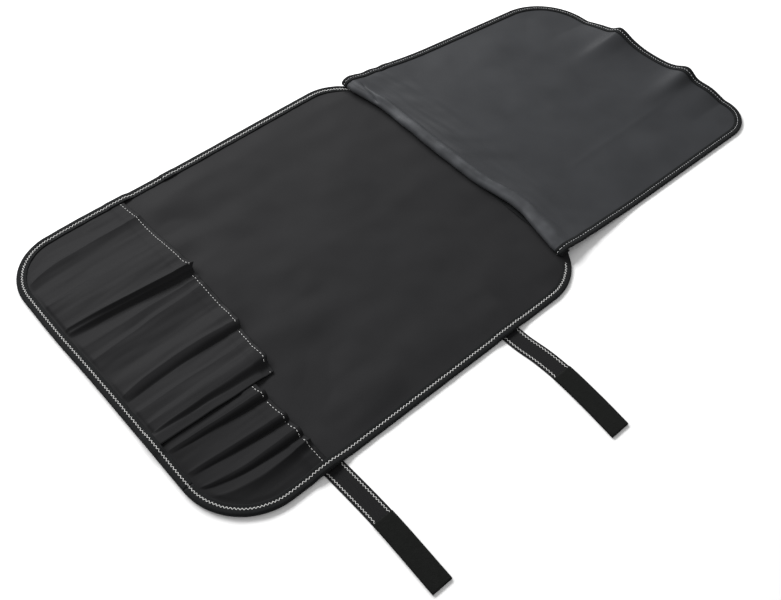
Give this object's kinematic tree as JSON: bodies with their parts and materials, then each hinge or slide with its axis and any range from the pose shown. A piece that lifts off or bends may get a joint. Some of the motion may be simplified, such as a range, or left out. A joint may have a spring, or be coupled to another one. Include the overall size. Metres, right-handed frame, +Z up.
{
  "type": "chef knife roll",
  "caption": "Knife roll lying open, with pleated pockets across its end, a bound flap folded out at the other end and hook and loop straps along its side.",
  "frame": {"origin": "middle of the whole roll's box, on the surface that it lies on", "axes": "+X from the pocket end to the flap's far edge, +Y across the roll away from the straps, +Z up"},
  "size_m": [0.8874, 0.6202, 0.0228],
  "materials": {
    "leathercloth": "matt black synthetic leather with a fine grain",
    "flap_cloth": "the same synthetic leather seen on its smoother, slightly lighter side",
    "binding_tape": "black ribbed grosgrain tape, sewn with white thread",
    "webbing": "black woven webbing, sewn with white zigzag thread along both edges",
    "loop_pile": "black fuzzy hook and loop pile"
  },
  "bodies": {
    "root": {"back_panel": "leathercloth", "back_binding": "binding_tape", "pocket_panel_large": "leathercloth", "pocket_panel_small": "leathercloth", "flap_panel": "flap_cloth", "flap_binding": "binding_tape", "strap_1": "webbing", "strap_2": "webbing", "hook_patch_1": "loop_pile", "hook_patch_2": "loop_pile"}
  },
  "joints": []
}
